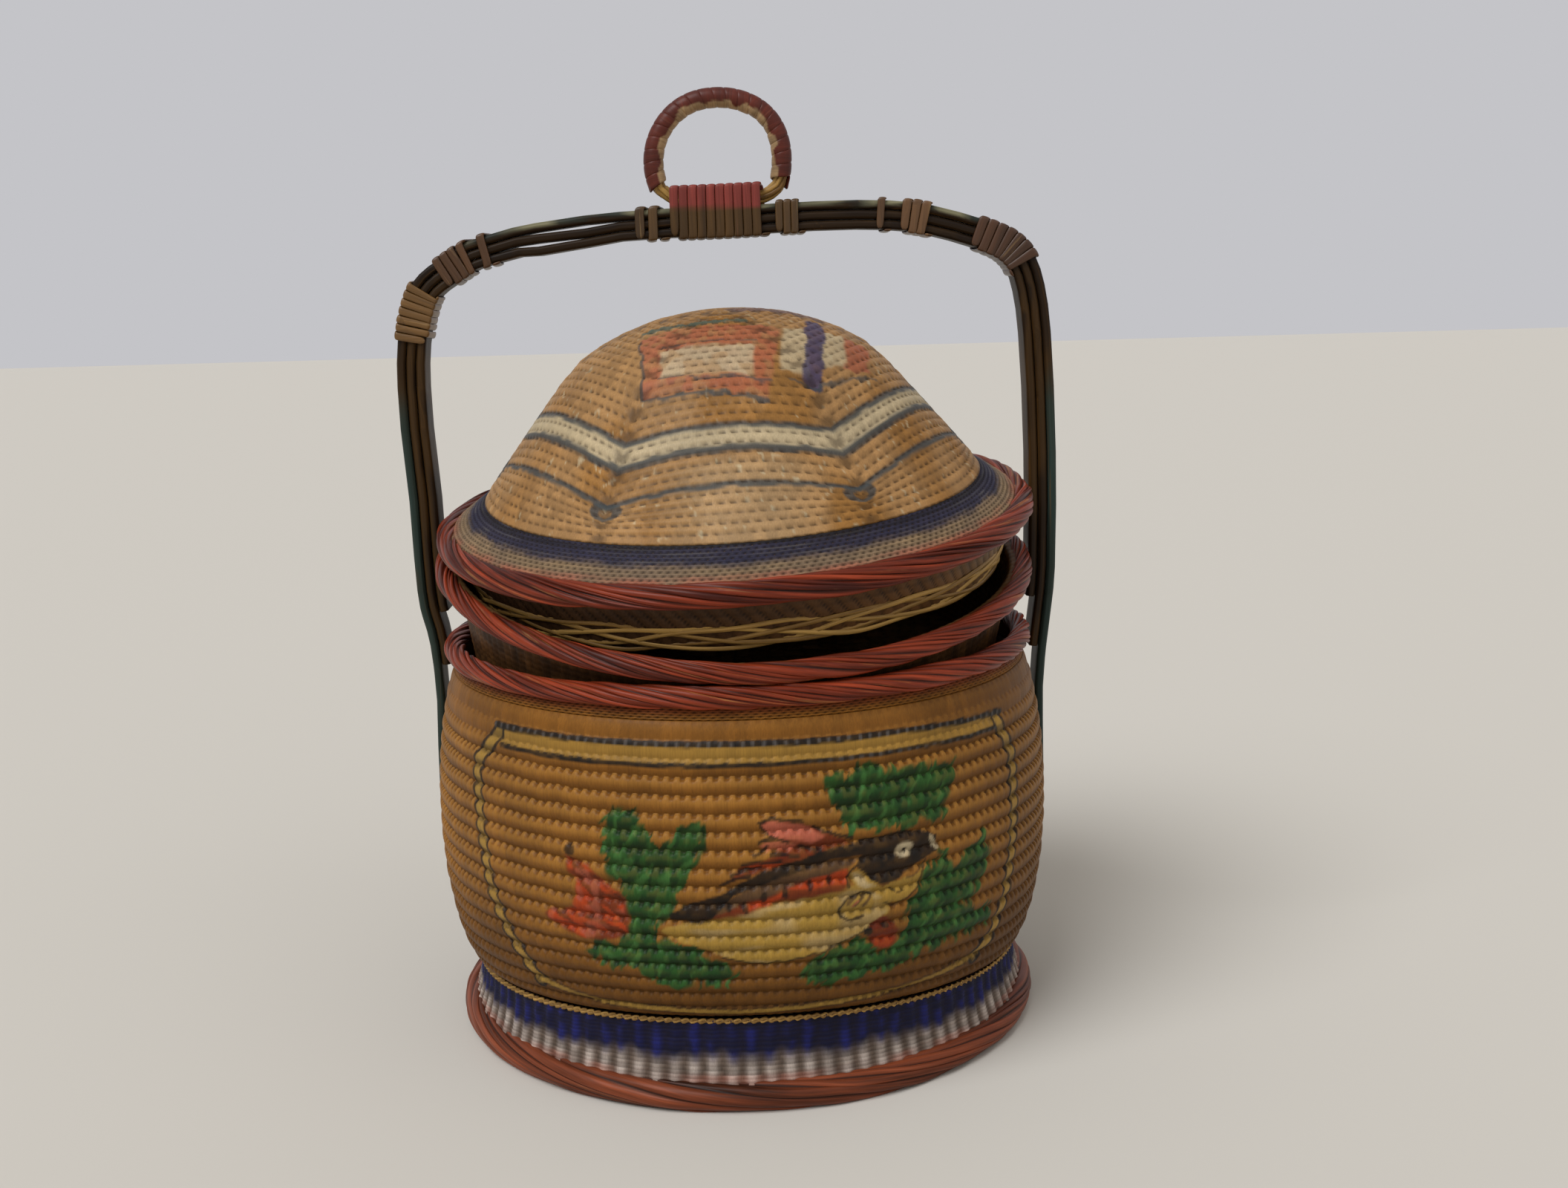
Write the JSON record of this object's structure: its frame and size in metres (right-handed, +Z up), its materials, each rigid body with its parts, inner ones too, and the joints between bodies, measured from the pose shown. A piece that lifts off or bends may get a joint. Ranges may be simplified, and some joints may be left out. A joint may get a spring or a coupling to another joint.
{
  "type": "lidded carrying basket",
  "caption": "Round woven bamboo carrying basket with a flared foot, bulging body, lift-out tray, domed lid and a hoop handle topped by a finger ring.",
  "frame": {"origin": "centre of the bounding box on the floor plane under the foot rim", "axes": "+Z up, -Y towards the painted front, +X to the right as seen from the front"},
  "size_m": [0.4124, 0.3828, 0.5735],
  "materials": {
    "red_cane": "worn red paint on twisted cane",
    "blue_weave": "worn blue paint on fine cane weave",
    "straw": "bare cane",
    "painted_weave": "varnished and painted bamboo weave",
    "brown_weave": "aged bare weave",
    "green_bamboo": "dark green paint worn to bare bamboo",
    "bamboo": "aged bare bamboo",
    "cane": "bare cane, aged",
    "red_ribbon": "dark red paint on cane ribbon",
    "dark_weave": "dark stained weave"
  },
  "bodies": {
    "basket": {"foot_rim": "red_cane", "foot_skirt": "blue_weave", "waist_braid": "straw", "body_wall": "painted_weave", "body_floor": "brown_weave", "neck_band": "brown_weave", "body_rim": "red_cane", "handle_outer": "green_bamboo", "handle_middle": "bamboo", "handle_inner": "bamboo", "lash_left_low": "cane", "lash_left_top": "cane", "lash_right_small": "cane", "lash_right_top": "cane", "lash_right_corner": "cane", "grip_binding": "red_ribbon", "grip_left": "cane", "grip_right": "cane", "ring_hoop": "straw", "ring_wrap": "red_ribbon"},
    "tray": {"tray_rim": "red_cane", "tray_wall": "dark_weave", "tray_floor": "brown_weave"},
    "lid": {"lid_rim": "red_cane", "lid_flange": "blue_weave", "lid_dome": "painted_weave", "lid_collar": "dark_weave", "lid_braid": "straw"}
  },
  "joints": [
    {"name": "tray_lift", "type": "slide", "parent": "basket", "child": "tray", "axis": [0, 0, 1], "range_m": [0, 0.035]},
    {"name": "lid_draw", "type": "slide", "parent": "tray", "child": "lid", "axis": [0, -0.766, 0.6428], "range_m": [0, 0.5]}
  ]
}
